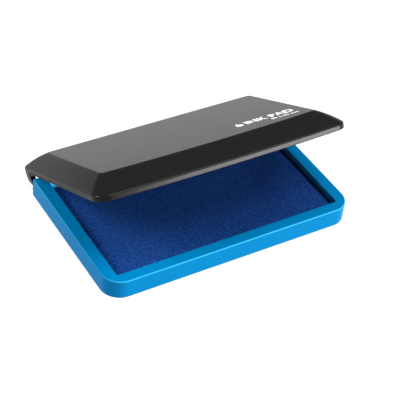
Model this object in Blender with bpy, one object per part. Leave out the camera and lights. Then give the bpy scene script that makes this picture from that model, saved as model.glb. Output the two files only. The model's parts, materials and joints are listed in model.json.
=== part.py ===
"""Office ink pad: a shallow blue tray holding an inked pad, under a black hinged lid.

The lid is modelled closed, in its own parts' real places, and hangs on an empty on the hinge axis
that turns it open.  X runs along the long side, +Y towards the hinge, +Z up, and the origin is the
middle of the tray's underside.
"""

import math

import bmesh
import bpy
from mathutils import Matrix, Vector
from mathutils.geometry import convex_hull_2d

MM = 0.001
GAP = 0.3 * MM                      # clearance kept between touching pieces
CUT = 1.0 * MM                      # how far a cutter runs past what it cuts

# Tray
TRAY_WIDTH = 99.8 * MM
TRAY_DEPTH = 60.6 * MM
TRAY_HEIGHT = 7.5 * MM
TRAY_FRONT_RADIUS = 7.3 * MM
TRAY_REAR_RADIUS = 0.6 * MM
TRAY_NOSE = 0.6 * MM                # how far the rounded rear wall swells at mid height
NOSE_STEPS = 8
TRAY_EDGE = 0.35 * MM               # rounding of the tray's long edges
WELL_WIDTH = 90.6 * MM
WELL_DEPTH = 52.2 * MM
WELL_RADIUS = 1.0 * MM
FLOOR = 1.2 * MM
WALL = 1.3 * MM
RIB = 1.0 * MM                      # thickness of the ribs under the rim
LONG_RIB_PITCH = 18.0 * MM
SHORT_RIB_PITCH = 16.0 * MM

# Inked pad
PAD_MARGIN = 0.4 * MM               # between the cloth and the walls of the well
PAD_TOP = 4.9 * MM
PAD_EDGE = 0.6 * MM
CLOTH = 0.4 * MM
BOARD = 0.8 * MM

# Lid, in its closed place
LID_WIDTH = 100.2 * MM
LID_BOTTOM = TRAY_HEIGHT + 0.2 * MM
LIP_HEIGHT = 2.0 * MM
LID_RISE = 6.85 * MM                # lid's bottom edge to its flat top
LIP_FRONT = -28.1 * MM              # at the corners; the middle is bowed out
LIP_REAR = 36.9 * MM
LIP_BOW = 2.05 * MM
LIP_FRONT_RADIUS = 5.0 * MM
LIP_REAR_RADIUS = 2.5 * MM
TOP_WIDTH = 87.2 * MM
TOP_FRONT = -18.0 * MM
TOP_REAR = 28.0 * MM
TOP_BOW = 1.85 * MM
TOP_RADIUS = 1.5 * MM
LID_WALL = 1.6 * MM
LID_CROWN = 0.35 * MM               # how far the middle of the slopes stands proud
CAVITY_RISE = 0.93                  # share of the slope that the hollow reaches
LINER = 1.0 * MM
LINER_RECESS = 0.6 * MM             # above the lid's bottom edge
LINER_REAR = 28.3 * MM
BEAD = 1.2 * MM                     # width of the sealing bead under the liner
STAKE_X = 34.0 * MM
STAKE_Y = 17.0 * MM
STAKE_RADIUS = 0.8 * MM
POST_RADIUS = 1.8 * MM

# Hinge
HINGE_Y = 32.65 * MM
HINGE_Z = 4.27 * MM
OPEN_ANGLE = math.radians(27.85)
EAR_RADIUS = 1.4 * MM
EAR_FRONT = 31.3 * MM
EAR_HEEL = 0.7 * MM                 # how far an ear's heel stands below the lip
EAR_THICKNESS = 2.2 * MM
EAR_SKIN = 0.7 * MM                 # plastic left outside the pin's blind hole
EAR_INSET = 0.1 * MM                # how far an ear's thickening stands inside its outline
LUG_RADIUS = 1.4 * MM
LUG_INNER_X = 41.5 * MM
LUG_OUTER_X = 45.5 * MM
PIN_RADIUS = 0.5 * MM
PIN_HOLE = 0.65 * MM

ARC_STEPS = 7                       # facets in a rounded corner
EDGE_STEPS = 12                     # facets along a bowed edge
ROUND_SIDES = 20                    # facets round a pin, boss or lug


# ---------------------------------------------------------------- scene and materials

def clear_scene():
    for old in list(bpy.data.objects):
        bpy.data.objects.remove(old, do_unlink=True)


def principled(name, colour, roughness, metallic=0.0):
    material = bpy.data.materials.new(name)
    material.use_nodes = True
    shader = material.node_tree.nodes["Principled BSDF"]
    shader.inputs["Base Color"].default_value = (*colour, 1.0)
    shader.inputs["Roughness"].default_value = roughness
    shader.inputs["Metallic"].default_value = metallic
    return material


# ---------------------------------------------------------------- outlines

def rounded_rectangle(half_width, front, rear, front_radius, rear_radius, bow=0.0):
    """Anticlockwise outline, with its front edge bowed forwards by a parabola."""
    points = []
    corners = (
        (half_width, rear, rear_radius, 0.0),
        (-half_width, rear, rear_radius, 90.0),
        (-half_width, front, front_radius, 180.0),
        (half_width, front, front_radius, 270.0),
    )
    for x, y, radius, start in corners:
        centre = Vector((x - math.copysign(radius, x), y - math.copysign(radius, y)))
        for step in range(ARC_STEPS + 1):
            angle = math.radians(start + 90.0 * step / ARC_STEPS)
            points.append(centre + radius * Vector((math.cos(angle), math.sin(angle))))
        if start == 180.0 and bow:
            reach = half_width - front_radius
            points.extend(
                Vector((-reach + 2.0 * reach * step / EDGE_STEPS, front))
                for step in range(1, EDGE_STEPS)
            )
    for point in points:
        if point.y < 0.0:
            point.y -= bow * (1.0 - (point.x / half_width) ** 2)
    return points


def well_outline(outset=0.0):
    return rounded_rectangle(
        WELL_WIDTH / 2 + outset, -WELL_DEPTH / 2 - outset, WELL_DEPTH / 2 + outset,
        max(WELL_RADIUS + outset, 0.3 * MM), max(WELL_RADIUS + outset, 0.3 * MM),
    )


def tray_outline(inset=0.0, nose=0.0):
    return rounded_rectangle(
        TRAY_WIDTH / 2 - inset, -TRAY_DEPTH / 2 + inset, TRAY_DEPTH / 2 - inset + nose,
        TRAY_FRONT_RADIUS - inset, max(TRAY_REAR_RADIUS - inset, 0.2 * MM),
    )


def lid_outline(rise, inset=0.0):
    """Outline of the lid's slope: rise 0 is its lip and 1 the edge of its flat top."""
    def between(lip, top):
        return lip + (top - lip) * rise

    return rounded_rectangle(
        between(LID_WIDTH, TOP_WIDTH) / 2 - inset,
        between(LIP_FRONT, TOP_FRONT) + inset,
        between(LIP_REAR, TOP_REAR) - inset,
        max(between(LIP_FRONT_RADIUS, TOP_RADIUS) - inset, 0.5 * MM),
        max(between(LIP_REAR_RADIUS, TOP_RADIUS) - inset, 0.5 * MM),
        between(LIP_BOW, TOP_BOW),
    )


def circle(centre, radius):
    return [
        Vector(centre) + radius * Vector((math.cos(angle), math.sin(angle)))
        for angle in (2.0 * math.pi * i / ROUND_SIDES for i in range(ROUND_SIDES))
    ]


def teardrop(centre, radius, base):
    """Outline round a centre, drawn out to the points of a base."""
    points = circle(centre, radius) + [Vector(corner) for corner in base]
    return [points[i] for i in convex_hull_2d(points)]


# ---------------------------------------------------------------- solids

def finish(name, mesh_data, material, smooth_angle=35.0):
    bmesh.ops.recalc_face_normals(mesh_data, faces=mesh_data.faces)
    mesh = bpy.data.meshes.new(name)
    mesh_data.to_mesh(mesh)
    mesh_data.free()
    mesh.shade_smooth()
    mesh.set_sharp_from_angle(angle=math.radians(smooth_angle))
    solid = bpy.data.objects.new(name, mesh)
    bpy.context.collection.objects.link(solid)
    if material:
        mesh.materials.append(material)
    return solid


def loft(name, rings, material=None):
    """Closed solid through rings of (outline, height), all with the same number of points."""
    built = bmesh.new()
    loops = [[built.verts.new((p.x, p.y, height)) for p in outline] for outline, height in rings]
    for low, high in zip(loops, loops[1:]):
        for i in range(len(low)):
            j = (i + 1) % len(low)
            built.faces.new((low[i], low[j], high[j], high[i]))
    built.faces.new(loops[0])
    built.faces.new(loops[-1])
    return finish(name, built, material)


def prism(name, outline, bottom, top, material=None):
    return loft(name, [(outline, bottom), (outline, top)], material)


def side_prism(name, outline, left, right, material=None):
    """Solid between two X planes from an outline of (y, z) points."""
    solid = prism(name, outline, left, right, material)
    solid.data.transform(Matrix(((0, 0, 1, 0), (1, 0, 0, 0), (0, 1, 0, 0), (0, 0, 0, 1))))
    return solid


def boxes(name, corners):
    """One tool made of separate boxes, each from its two opposite corners."""
    built = bmesh.new()
    for low, high in corners:
        low, high = Vector(low), Vector(high)
        centre = Matrix.Translation((low + high) / 2)
        bmesh.ops.create_cube(built, size=1.0, matrix=centre @ Matrix.Diagonal((*(high - low), 1.0)))
    return finish(name, built, None)


def combine(target, tool, operation):
    """Boolean with a tool that is hidden and stays out of the model."""
    modifier = target.modifiers.new(tool.name, "BOOLEAN")
    modifier.operation = operation
    modifier.object = tool
    modifier.solver = "EXACT"
    tool.hide_render = True
    tool.display_type = "WIRE"


def hang(solid, hinge):
    """Put a solid's origin on the hinge axis and hang it on the empty there."""
    solid.data.transform(Matrix.Translation((0.0, -HINGE_Y, -HINGE_Z)))
    solid.parent = hinge


# ---------------------------------------------------------------- tray

def rim_channel():
    """Tool for the hollow under the rim, open below and crossed by stiffening ribs."""
    roof = TRAY_HEIGHT - WALL
    channel = prism("channel_tool", tray_outline(WALL), -CUT, roof)
    combine(channel, prism("channel_core", well_outline(WALL), -2 * CUT, roof + CUT), "DIFFERENCE")
    end_rim = (TRAY_WIDTH - WELL_WIDTH) / 2
    side_rim = (TRAY_DEPTH - WELL_DEPTH) / 2
    ribs = []
    for i in (-2, -1, 0, 1, 2):
        left = i * LONG_RIB_PITCH - RIB / 2
        for front in (-TRAY_DEPTH / 2, WELL_DEPTH / 2):
            ribs.append(((left, front, -2 * CUT), (left + RIB, front + side_rim, TRAY_HEIGHT)))
    for i in (-1, 0, 1):
        front = i * SHORT_RIB_PITCH - RIB / 2
        for left in (-TRAY_WIDTH / 2, WELL_WIDTH / 2):
            ribs.append(((left, front, -2 * CUT), (left + end_rim, front + RIB, TRAY_HEIGHT)))
    combine(channel, boxes("channel_ribs", ribs), "DIFFERENCE")
    return channel


def swell(height):
    """How far the rounded rear wall stands out at a height."""
    return TRAY_NOSE * math.sqrt(1.0 - (2.0 * height / TRAY_HEIGHT - 1.0) ** 2)


def tray_rings():
    """Rings up the tray, whose rear wall swells to a rounded nose."""
    middle = TRAY_HEIGHT / 2
    insets = {
        0.0: 0.6 * TRAY_EDGE,
        0.6 * TRAY_EDGE: 0.0,
        TRAY_HEIGHT - TRAY_EDGE: 0.0,
        TRAY_HEIGHT - 0.3 * TRAY_EDGE: 0.3 * TRAY_EDGE,
        TRAY_HEIGHT: TRAY_EDGE,
    }
    for i in range(NOSE_STEPS + 1):
        insets.setdefault(middle - 0.9 * middle * math.cos(math.pi * i / NOSE_STEPS), 0.0)
    return [
        (tray_outline(insets[height], swell(height)), height) for height in sorted(insets)
    ]


def make_tray(material):
    tray = loft("base_tray", tray_rings(), material)
    combine(tray, prism("well_tool", well_outline(), FLOOR, TRAY_HEIGHT + CUT), "DIFFERENCE")
    combine(tray, rim_channel(), "DIFFERENCE")
    root = TRAY_DEPTH / 2 - WALL / 2
    profile = teardrop(
        (HINGE_Y, HINGE_Z), LUG_RADIUS,
        [(root, HINGE_Z - 1.5 * LUG_RADIUS), (root, HINGE_Z + 1.2 * LUG_RADIUS)],
    )
    for name, left, right in (
        ("left", -LUG_OUTER_X, -LUG_INNER_X),
        ("right", LUG_INNER_X, LUG_OUTER_X),
    ):
        combine(tray, side_prism(f"lug_{name}", profile, left, right), "UNION")
    bore = circle((HINGE_Y, HINGE_Z), PIN_HOLE)
    combine(tray, side_prism("lug_bore", bore, -TRAY_WIDTH / 2, TRAY_WIDTH / 2), "DIFFERENCE")
    return tray


# ---------------------------------------------------------------- inked pad

def make_cloth(material):
    """The cloth as a tray turned over, holding the felt and the board."""
    cloth = loft("pad_cloth", [
        (well_outline(-PAD_MARGIN), FLOOR + GAP),
        (well_outline(-PAD_MARGIN), PAD_TOP - PAD_EDGE),
        (well_outline(-PAD_MARGIN - 0.3 * PAD_EDGE), PAD_TOP - 0.3 * PAD_EDGE),
        (well_outline(-PAD_MARGIN - PAD_EDGE), PAD_TOP),
    ], material)
    inside = well_outline(-PAD_MARGIN - CLOTH)
    combine(cloth, prism("cloth_tool", inside, FLOOR - CUT, PAD_TOP - CLOTH), "DIFFERENCE")
    return cloth


def make_pad_layer(name, bottom, top, material):
    return prism(name, well_outline(-PAD_MARGIN - CLOTH - GAP), bottom, top, material)


# ---------------------------------------------------------------- lid

def stake_places():
    return [(x, y) for x in (-STAKE_X, STAKE_X) for y in (-STAKE_Y, STAKE_Y)]


def upright(name, places, radius, bottom, top):
    """One tool of separate upright round posts."""
    built = bmesh.new()
    for x, y in places:
        bmesh.ops.create_cone(
            built, cap_ends=True, segments=ROUND_SIDES, radius1=radius, radius2=radius,
            depth=top - bottom, matrix=Matrix.Translation((x, y, (top + bottom) / 2)),
        )
    return finish(name, built, None)


def lid_cavity():
    """Tool for the inside of the lid and of its ears."""
    return loft("cavity_tool", [
        (lid_outline(0.0, LID_WALL), -CUT),
        (lid_outline(0.0, LID_WALL), LID_BOTTOM + LIP_HEIGHT),
        (lid_outline(CAVITY_RISE, 0.8 * LID_WALL), LID_BOTTOM + LID_RISE - LID_WALL),
    ])


def ear_profile(inset=0.0):
    """Side of an ear: a round end on the pin, drawn up and back to its heel and the lip."""
    return teardrop((HINGE_Y, HINGE_Z), EAR_RADIUS - inset, [
        (EAR_FRONT + inset, LID_BOTTOM + CUT - inset),
        (LIP_REAR + CUT - inset, LID_BOTTOM + CUT - inset),
        (LIP_REAR + CUT - inset, LID_BOTTOM - EAR_HEEL + inset),
    ])


def below_lid():
    """Tool for everything under the lid's lip, except its two ears."""
    reach = TRAY_WIDTH
    tool = boxes("skirt_tool", [((-reach, -reach, -reach), (reach, reach, LID_BOTTOM))])
    for name, side in (("left", -1), ("right", 1)):
        ends = sorted((side * (LID_WIDTH / 2 - EAR_THICKNESS - CUT), side * LID_WIDTH))
        combine(tool, side_prism(f"ear_{name}", ear_profile(), *ends), "DIFFERENCE")
    return tool


def make_lid(material):
    lip_top = LID_BOTTOM + LIP_HEIGHT
    top = LID_BOTTOM + LID_RISE

    def height(rise):
        return lip_top + (top - lip_top) * rise + 4.0 * LID_CROWN * rise * (1.0 - rise)

    lid = loft("lid_shell", [
        (lid_outline(0.0), 0.0),
        (lid_outline(0.0), lip_top - 0.1 * MM),
        *((lid_outline(rise), height(rise)) for rise in (0.03, 0.15, 0.3, 0.5, 0.7, 0.85, 0.95)),
        (lid_outline(1.0), top - 0.07 * MM),
        (lid_outline(1.08), top),
    ], material)
    combine(lid, lid_cavity(), "DIFFERENCE")
    combine(lid, below_lid(), "DIFFERENCE")
    liner_top = LID_BOTTOM + LINER_RECESS + LINER
    roof = top - LID_WALL
    combine(lid, upright("lid_posts", stake_places(), POST_RADIUS, liner_top + GAP,
                         roof + LID_WALL / 2), "UNION")
    combine(lid, upright("lid_stakes", stake_places(), STAKE_RADIUS, LID_BOTTOM + GAP / 2,
                         roof + LID_WALL / 3), "UNION")
    for name, side in (("left", -1), ("right", 1)):
        near, far = LID_WIDTH / 2 - EAR_THICKNESS, LID_WIDTH / 2 - LID_WALL / 2
        pad = side_prism(f"ear_pad_{name}", ear_profile(EAR_INSET), *sorted((side * near, side * far)))
        limit = lid_outline(0.0, LID_WALL / 2)
        combine(pad, prism(f"ear_pad_{name}_rear", limit, 0.0, LID_BOTTOM + CUT / 2), "INTERSECT")
        combine(lid, pad, "UNION")
    bore = circle((HINGE_Y, HINGE_Z), PIN_HOLE)
    bore_end = LID_WIDTH / 2 - EAR_SKIN
    combine(lid, side_prism("ear_bore", bore, -bore_end, bore_end), "DIFFERENCE")
    return lid


def liner_outline(inset):
    return rounded_rectangle(
        LID_WIDTH / 2 - LID_WALL - inset, LIP_FRONT + LID_WALL + inset, LINER_REAR - inset,
        LIP_FRONT_RADIUS - LID_WALL - inset, WELL_RADIUS, LIP_BOW,
    )


def make_liner(material):
    bottom = LID_BOTTOM + LINER_RECESS
    liner = prism("lid_liner", liner_outline(GAP), bottom, bottom + LINER, material)
    bead = prism("bead", liner_outline(GAP), TRAY_HEIGHT + GAP, bottom + LINER / 2)
    core = prism("bead_core", liner_outline(GAP + BEAD), TRAY_HEIGHT, bottom + LINER)
    combine(bead, core, "DIFFERENCE")
    combine(liner, bead, "UNION")
    combine(liner, upright("stake_holes", stake_places(), STAKE_RADIUS + GAP, TRAY_HEIGHT,
                           bottom + 2 * LINER), "DIFFERENCE")
    return liner


# ---------------------------------------------------------------- hinge

def make_pin(name, side, material):
    ends = sorted((side * (LUG_INNER_X + GAP), side * (LID_WIDTH / 2 - EAR_SKIN - GAP)))
    return side_prism(name, circle((HINGE_Y, HINGE_Z), PIN_RADIUS), *ends, material)


def main():
    clear_scene()
    blue = principled("blue_polystyrene", (0.0, 0.30, 0.66), 0.35)
    black = principled("black_polystyrene", (0.02, 0.02, 0.02), 0.4)
    board = principled("grey_board", (0.35, 0.34, 0.32), 0.9)
    felt = principled("inked_felt", (0.01, 0.02, 0.10), 1.0)
    cloth = principled("inked_cloth", (0.01, 0.035, 0.17), 0.9)
    steel = principled("pin_steel", (0.6, 0.6, 0.6), 0.3, 1.0)

    make_tray(blue)
    board_top = FLOOR + GAP + BOARD
    make_pad_layer("backing_board", FLOOR + GAP, board_top, board)
    make_pad_layer("ink_felt", board_top + GAP / 2, PAD_TOP - CLOTH - GAP / 2, felt)
    make_cloth(cloth)
    make_pin("hinge_pin_left", -1, steel)
    make_pin("hinge_pin_right", 1, steel)

    hinge = bpy.data.objects.new("lid_hinge_axis", None)
    bpy.context.collection.objects.link(hinge)
    hinge.location = (0.0, HINGE_Y, HINGE_Z)
    lid = make_lid(black)
    liner = make_liner(black)
    tools = {m.object for solid in (lid, liner) for m in solid.modifiers}
    for tool in list(tools):
        tools |= {m.object for m in tool.modifiers}
    for solid in (lid, liner, *sorted(tools, key=lambda tool: tool.name)):
        hang(solid, hinge)
    hinge.rotation_euler.x = -OPEN_ANGLE


main()
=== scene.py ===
"""Office ink pad: a blue moulded tray with an inked cloth pad under a black hinged lid.

Sizes inside the classes are millimetres.  Lid parts are shaped in their closed place and then
swung open about the frame's hinge.
"""

import json
import logging
import math
from dataclasses import dataclass, field
from enum import Enum

import bmesh
import bpy
import numpy as np
from mathutils import Matrix, Vector, noise
from mathutils.geometry import convex_hull_2d


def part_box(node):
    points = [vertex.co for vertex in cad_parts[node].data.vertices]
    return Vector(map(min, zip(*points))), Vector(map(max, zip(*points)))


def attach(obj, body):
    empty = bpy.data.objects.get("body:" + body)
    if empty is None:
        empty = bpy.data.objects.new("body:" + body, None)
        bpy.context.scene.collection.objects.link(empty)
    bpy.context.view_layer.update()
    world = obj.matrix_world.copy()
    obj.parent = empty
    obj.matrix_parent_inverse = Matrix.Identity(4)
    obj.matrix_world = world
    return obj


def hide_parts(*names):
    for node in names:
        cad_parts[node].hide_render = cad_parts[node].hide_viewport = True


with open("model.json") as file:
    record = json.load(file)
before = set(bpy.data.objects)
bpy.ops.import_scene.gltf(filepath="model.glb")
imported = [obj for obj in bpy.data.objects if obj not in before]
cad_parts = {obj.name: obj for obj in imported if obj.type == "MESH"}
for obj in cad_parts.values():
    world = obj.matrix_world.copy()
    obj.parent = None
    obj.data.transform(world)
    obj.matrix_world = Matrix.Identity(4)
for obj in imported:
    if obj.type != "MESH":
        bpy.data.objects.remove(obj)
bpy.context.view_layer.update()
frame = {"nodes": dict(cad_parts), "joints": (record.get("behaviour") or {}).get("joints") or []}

MM = 0.001
SHARP_ANGLE = 32.0
ALL_SMOOTH = 180.0
SUPPORT = 0.05              # distance from a rounding to the ring that keeps the flat beside it flat
FILM = 0.01                 # overlap of a part with the face that it sits on
ROUND_STEPS = 40            # facets round a bar or a drop
PAINTED_LIGHT = "painted_light"     # mesh attribute: 1 where light is painted in, as a paler colour
INK_AND_SHADE = "ink_stain_and_shade"     # mesh attribute: how dark the well's foot is painted, as ink stain and painted shade
log = logging.getLogger("ink_pad")


class Body(Enum):
    """The two rigid bodies of the frame."""

    BASE = "base"
    LID = "lid"


class Side(Enum):
    """Left or right of the object, as the sign of X."""

    LEFT = -1
    RIGHT = 1


# ---------------------------------------------------------------- colours and nodes


def hex_to_linear(code: str) -> tuple[float, float, float, float]:
    """Turn an sRGB hex value to linear light.

    Args:
        code: Six hex digits after a hash.

    Returns:
        Linear red, green, blue and an alpha of one.
    """
    parts = [int(code[i : i + 2], 16) / 255.0 for i in (1, 3, 5)]
    linear = [p / 12.92 if p <= 0.04045 else ((p + 0.055) / 1.055) ** 2.4 for p in parts]
    return (linear[0], linear[1], linear[2], 1.0)


def add_node(
    tree: bpy.types.NodeTree,
    kind: str,
    settings: dict[str, object] | None = None,
    inputs: dict[str | int, object] | None = None,
) -> bpy.types.Node:
    """Add one node with its settings, and its inputs set or linked.

    Args:
        tree: Tree that gets the node.
        kind: Node type name.
        settings: Attributes to set on the node.
        inputs: Input sockets by name or number, each given a value or an output to link from.

    Returns:
        The new node.
    """
    node = tree.nodes.new(kind)
    for name, value in (settings or {}).items():
        setattr(node, name, value)
    for name, value in (inputs or {}).items():
        if isinstance(value, bpy.types.NodeSocket):
            tree.links.new(value, node.inputs[name])
        else:
            node.inputs[name].default_value = value
    return node


@dataclass(frozen=True)
class Canvas:
    """A new material with its shader and with coordinates counted in millimetres."""

    material: bpy.types.Material
    tree: bpy.types.NodeTree
    shader: bpy.types.Node
    place: bpy.types.NodeSocket

    @classmethod
    def start(cls, name: str) -> "Canvas":
        """Make the material, its shader and its millimetre coordinates.

        Args:
            name: Name of the material.

        Returns:
            The canvas to add a finish's own nodes to.
        """
        material = bpy.data.materials.new(name)
        material.use_nodes = True
        tree = material.node_tree
        shader = tree.nodes["Principled BSDF"]
        coordinates = add_node(tree, "ShaderNodeTexCoord")
        mapping = add_node(
            tree,
            "ShaderNodeMapping",
            inputs={"Vector": coordinates.outputs["Object"], "Scale": (1.0 / MM,) * 3},
        )
        return cls(material, tree, shader, mapping.outputs["Vector"])

    def grain(self, size: float, detail: float = 2.0, stretch: Vector | None = None) -> bpy.types.NodeSocket:
        """Noise whose blotches are about a given size.

        Args:
            size: Size of a blotch in millimetres.
            detail: Octaves of finer noise.
            stretch: Scale along each axis, for grain that runs one way.

        Returns:
            The noise's height output, about 0 to 1.
        """
        place = self.place
        if stretch is not None:
            place = add_node(
                self.tree, "ShaderNodeMapping", inputs={"Vector": place, "Scale": tuple(stretch)}
            ).outputs["Vector"]
        return add_node(
            self.tree,
            "ShaderNodeTexNoise",
            inputs={"Vector": place, "Scale": 1.0 / size, "Detail": detail},
        ).outputs[0]

    def remap(self, value: bpy.types.NodeSocket, low: float, high: float, start: float = 0.3,
              end: float = 0.7) -> bpy.types.NodeSocket:
        """Stretch a value from one range to another, clamped.

        Args:
            value: Output to read.
            low: Result at the start.
            high: Result at the end.
            start: Value that gives low.
            end: Value that gives high.

        Returns:
            The remapped output.
        """
        return add_node(
            self.tree,
            "ShaderNodeMapRange",
            inputs={"Value": value, "From Min": start, "From Max": end, "To Min": low, "To Max": high},
        ).outputs["Result"]

    def mix(self, share: object, first: object, second: object) -> bpy.types.NodeSocket:
        """Mix two colours.

        Args:
            share: Amount of the second, as a value or an output.
            first: First colour or output.
            second: Second colour or output.

        Returns:
            The mixed colour.
        """
        node = add_node(self.tree, "ShaderNodeMix", {"data_type": "RGBA"})
        for number, value in ((0, share), (6, first), (7, second)):
            if isinstance(value, bpy.types.NodeSocket):
                self.tree.links.new(value, node.inputs[number])
            else:
                node.inputs[number].default_value = value
        return node.outputs[2]

    def math(self, operation: str, *values: object) -> bpy.types.NodeSocket:
        """Do one sum on values or outputs.

        Args:
            operation: Blender's name for the sum.
            *values: Its terms, in order.

        Returns:
            The result.
        """
        return add_node(
            self.tree, "ShaderNodeMath", {"operation": operation}, dict(enumerate(values))
        ).outputs[0]

    def set(self, **values: object) -> None:
        """Set or link the shader's inputs, with underscores for the spaces in their names."""
        for name, value in values.items():
            socket = self.shader.inputs[name.replace("_", " ")]
            if isinstance(value, bpy.types.NodeSocket):
                self.tree.links.new(value, socket)
            else:
                socket.default_value = value

    def mark(self, name: str) -> bpy.types.NodeSocket:
        """A mesh attribute's value."""
        return add_node(self.tree, "ShaderNodeAttribute", {"attribute_name": name}).outputs["Fac"]

    def bump(self, height: bpy.types.NodeSocket, depth: float, strength: float = 1.0) -> bpy.types.NodeSocket:
        """Relief from a height.

        Args:
            height: Height output, about 0 to 1.
            depth: Depth of the relief in millimetres.
            strength: How much of it shows.

        Returns:
            The normal output.
        """
        inputs = {"Height": height, "Distance": depth * MM, "Strength": strength}
        return add_node(self.tree, "ShaderNodeBump", inputs=inputs).outputs["Normal"]


# ---------------------------------------------------------------- finishes


@dataclass(frozen=True)
class MouldedPlastic:
    """Injection-moulded plastic straight from a polished or a lightly sparked tool.

    Its grain is the size and its depth the height of the tool's texture, in millimetres.  Its
    gleam is the specular level; its pale colour is painted light and its ink colour an ink stain
    with painted shade, each shown where the mesh is marked.
    """

    name: str
    colour: str
    cloudy: str
    roughness: float
    grain: float
    depth: float
    ior: float = 1.5
    gleam: float = 0.5
    # pale: colour of the painted highlight and painted light; ink: colour of the ink stain with painted shade
    pale: str | None = None
    ink: str | None = None
    cloud_size: float = 14.0
    gloss_change: float = 0.01

    def build(self) -> bpy.types.Material:
        """Colour and gloss clouded over centimetres, a fine tool grain, and painted light and shade at the
        marked places.

        Returns:
            The material.
        """
        canvas = Canvas.start(self.name)
        cloud = canvas.remap(canvas.grain(self.cloud_size), 0.0, 1.0)
        colour = canvas.mix(cloud, hex_to_linear(self.colour), hex_to_linear(self.cloudy))
        # mix in the painted light, and the ink stain with painted shade, where the mesh is marked
        for attribute, shown in ((PAINTED_LIGHT, self.pale), (INK_AND_SHADE, self.ink)):
            if shown is not None:
                colour = canvas.mix(canvas.mark(attribute), colour, hex_to_linear(shown))
        low, high = self.roughness - self.gloss_change, self.roughness + self.gloss_change
        canvas.set(
            Base_Color=colour,
            Roughness=canvas.remap(cloud, low, high, 0.0, 1.0),
            IOR=self.ior,
            Specular_IOR_Level=self.gleam,
            Normal=canvas.bump(canvas.grain(self.grain), self.depth),
        )
        return canvas.material


@dataclass(frozen=True)
class InkedCloth:
    """Plain-woven cotton cloth soaked with ink, whose threads stand out as a fine dull grain.

    Thread, slub, speck and pool are sizes in millimetres.  Each pair of shares says how much the
    weave, and then the slubs or specks, count in the relief or in the shade.
    """

    name: str
    wet: str
    dry: str
    fuzz: str
    thread: float
    roughness: float
    slub: float = 0.8
    speck: float = 0.5
    pool: float = 17.0
    sway: float = 0.5
    relief_shares: tuple[float, float] = (0.45, 0.9)
    shade_shares: tuple[float, float] = (0.2, 0.8)
    speck_range: tuple[float, float] = (0.32, 0.7)
    shade_range: tuple[float, float] = (0.24, 0.86)
    pooled: float = 0.3
    relief: float = 0.12
    relief_strength: float = 0.8
    gleam: float = 0.12
    fuzziness: float = 0.05

    def blend(self, canvas: Canvas, weave: bpy.types.NodeSocket, other: bpy.types.NodeSocket,
              shares: tuple[float, float]) -> bpy.types.NodeSocket:
        """Add the weave and another pattern by their shares.

        Args:
            canvas: The material's canvas.
            weave: The weave's output.
            other: The other pattern's output.
            shares: How much each of them counts.

        Returns:
            The sum.
        """
        return canvas.math(
            "ADD", canvas.math("MULTIPLY", weave, shares[0]), canvas.math("MULTIPLY", other, shares[1])
        )

    def build(self) -> bpy.types.Material:
        """Weave of crossing threads with slubs, darker where the ink stands in the weave.

        Returns:
            The material.
        """
        canvas = Canvas.start(self.name)
        tree = canvas.tree
        wander = add_node(
            tree,
            "ShaderNodeTexNoise",
            inputs={"Vector": canvas.place, "Scale": 1.0 / (3.0 * self.thread), "Detail": 1.0},
        ).outputs["Color"]
        swayed = add_node(
            tree,
            "ShaderNodeVectorMath",
            {"operation": "MULTIPLY_ADD"},
            {0: wander, 1: (self.sway * self.thread,) * 3, 2: canvas.place},
        ).outputs[0]
        axes = add_node(tree, "ShaderNodeSeparateXYZ", inputs={0: swayed})
        turns = math.pi / self.thread
        across = canvas.math("SINE", canvas.math("MULTIPLY", axes.outputs["X"], turns))
        along = canvas.math("SINE", canvas.math("MULTIPLY", axes.outputs["Y"], turns))
        weave = canvas.math("MULTIPLY_ADD", canvas.math("MULTIPLY", across, along), 0.5, 0.5)
        speck = canvas.remap(canvas.grain(self.speck), 0.0, 1.0, *self.speck_range)
        height = self.blend(canvas, weave, canvas.grain(self.slub, 3.0), self.relief_shares)
        shade = self.blend(canvas, weave, speck, self.shade_shares)
        wet, dry = hex_to_linear(self.wet), hex_to_linear(self.dry)
        ink = canvas.mix(canvas.remap(shade, 0.0, 1.0, *self.shade_range), wet, dry)
        ink = canvas.mix(canvas.remap(canvas.grain(self.pool, 3.0), 0.0, self.pooled), ink, wet)
        canvas.set(
            Base_Color=ink,
            Roughness=self.roughness,
            IOR=1.45,
            Specular_IOR_Level=self.gleam,
            Sheen_Weight=self.fuzziness,
            Sheen_Roughness=0.5,
            Sheen_Tint=hex_to_linear(self.fuzz),
            Normal=canvas.bump(height, self.relief, self.relief_strength),
        )
        return canvas.material


@dataclass(frozen=True)
class PressedFibre:
    """Felt or grey board: matted fibres with no weave, dull all over."""

    name: str
    dark: str
    light: str
    fibre: float
    slimness: float = 0.25
    nap: float = 0.15

    def build(self) -> bpy.types.Material:
        """Fibres lying every way, as stretched noise in two directions.

        Returns:
            The material.
        """
        canvas = Canvas.start(self.name)
        one = canvas.grain(self.fibre, 3.0, Vector((self.slimness, 1.0, 1.0)))
        two = canvas.grain(self.fibre, 3.0, Vector((1.0, self.slimness, 1.0)))
        fibres = canvas.math("MAXIMUM", one, two)
        canvas.set(
            Base_Color=canvas.mix(
                canvas.remap(fibres, 0.0, 1.0), hex_to_linear(self.dark), hex_to_linear(self.light)
            ),
            Roughness=0.95,
            Normal=canvas.bump(fibres, self.nap),
        )
        return canvas.material


@dataclass(frozen=True)
class DrawnSteel:
    """Bright steel wire, with fine marks of the drawing die along its length."""

    name: str
    colour: str
    roughness: float
    mark_width: float = 0.06
    mark_depth: float = 0.01
    worn: float = 0.15

    def build(self) -> bpy.types.Material:
        """Marks along X in the roughness and the relief.

        Returns:
            The material.
        """
        canvas = Canvas.start(self.name)
        marks = canvas.grain(self.mark_width, stretch=Vector((0.05, 1.0, 1.0)))
        canvas.set(
            Base_Color=hex_to_linear(self.colour),
            Metallic=1.0,
            Roughness=canvas.remap(marks, self.roughness, self.roughness + self.worn),
            Normal=canvas.bump(marks, self.mark_depth),
        )
        return canvas.material


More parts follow.
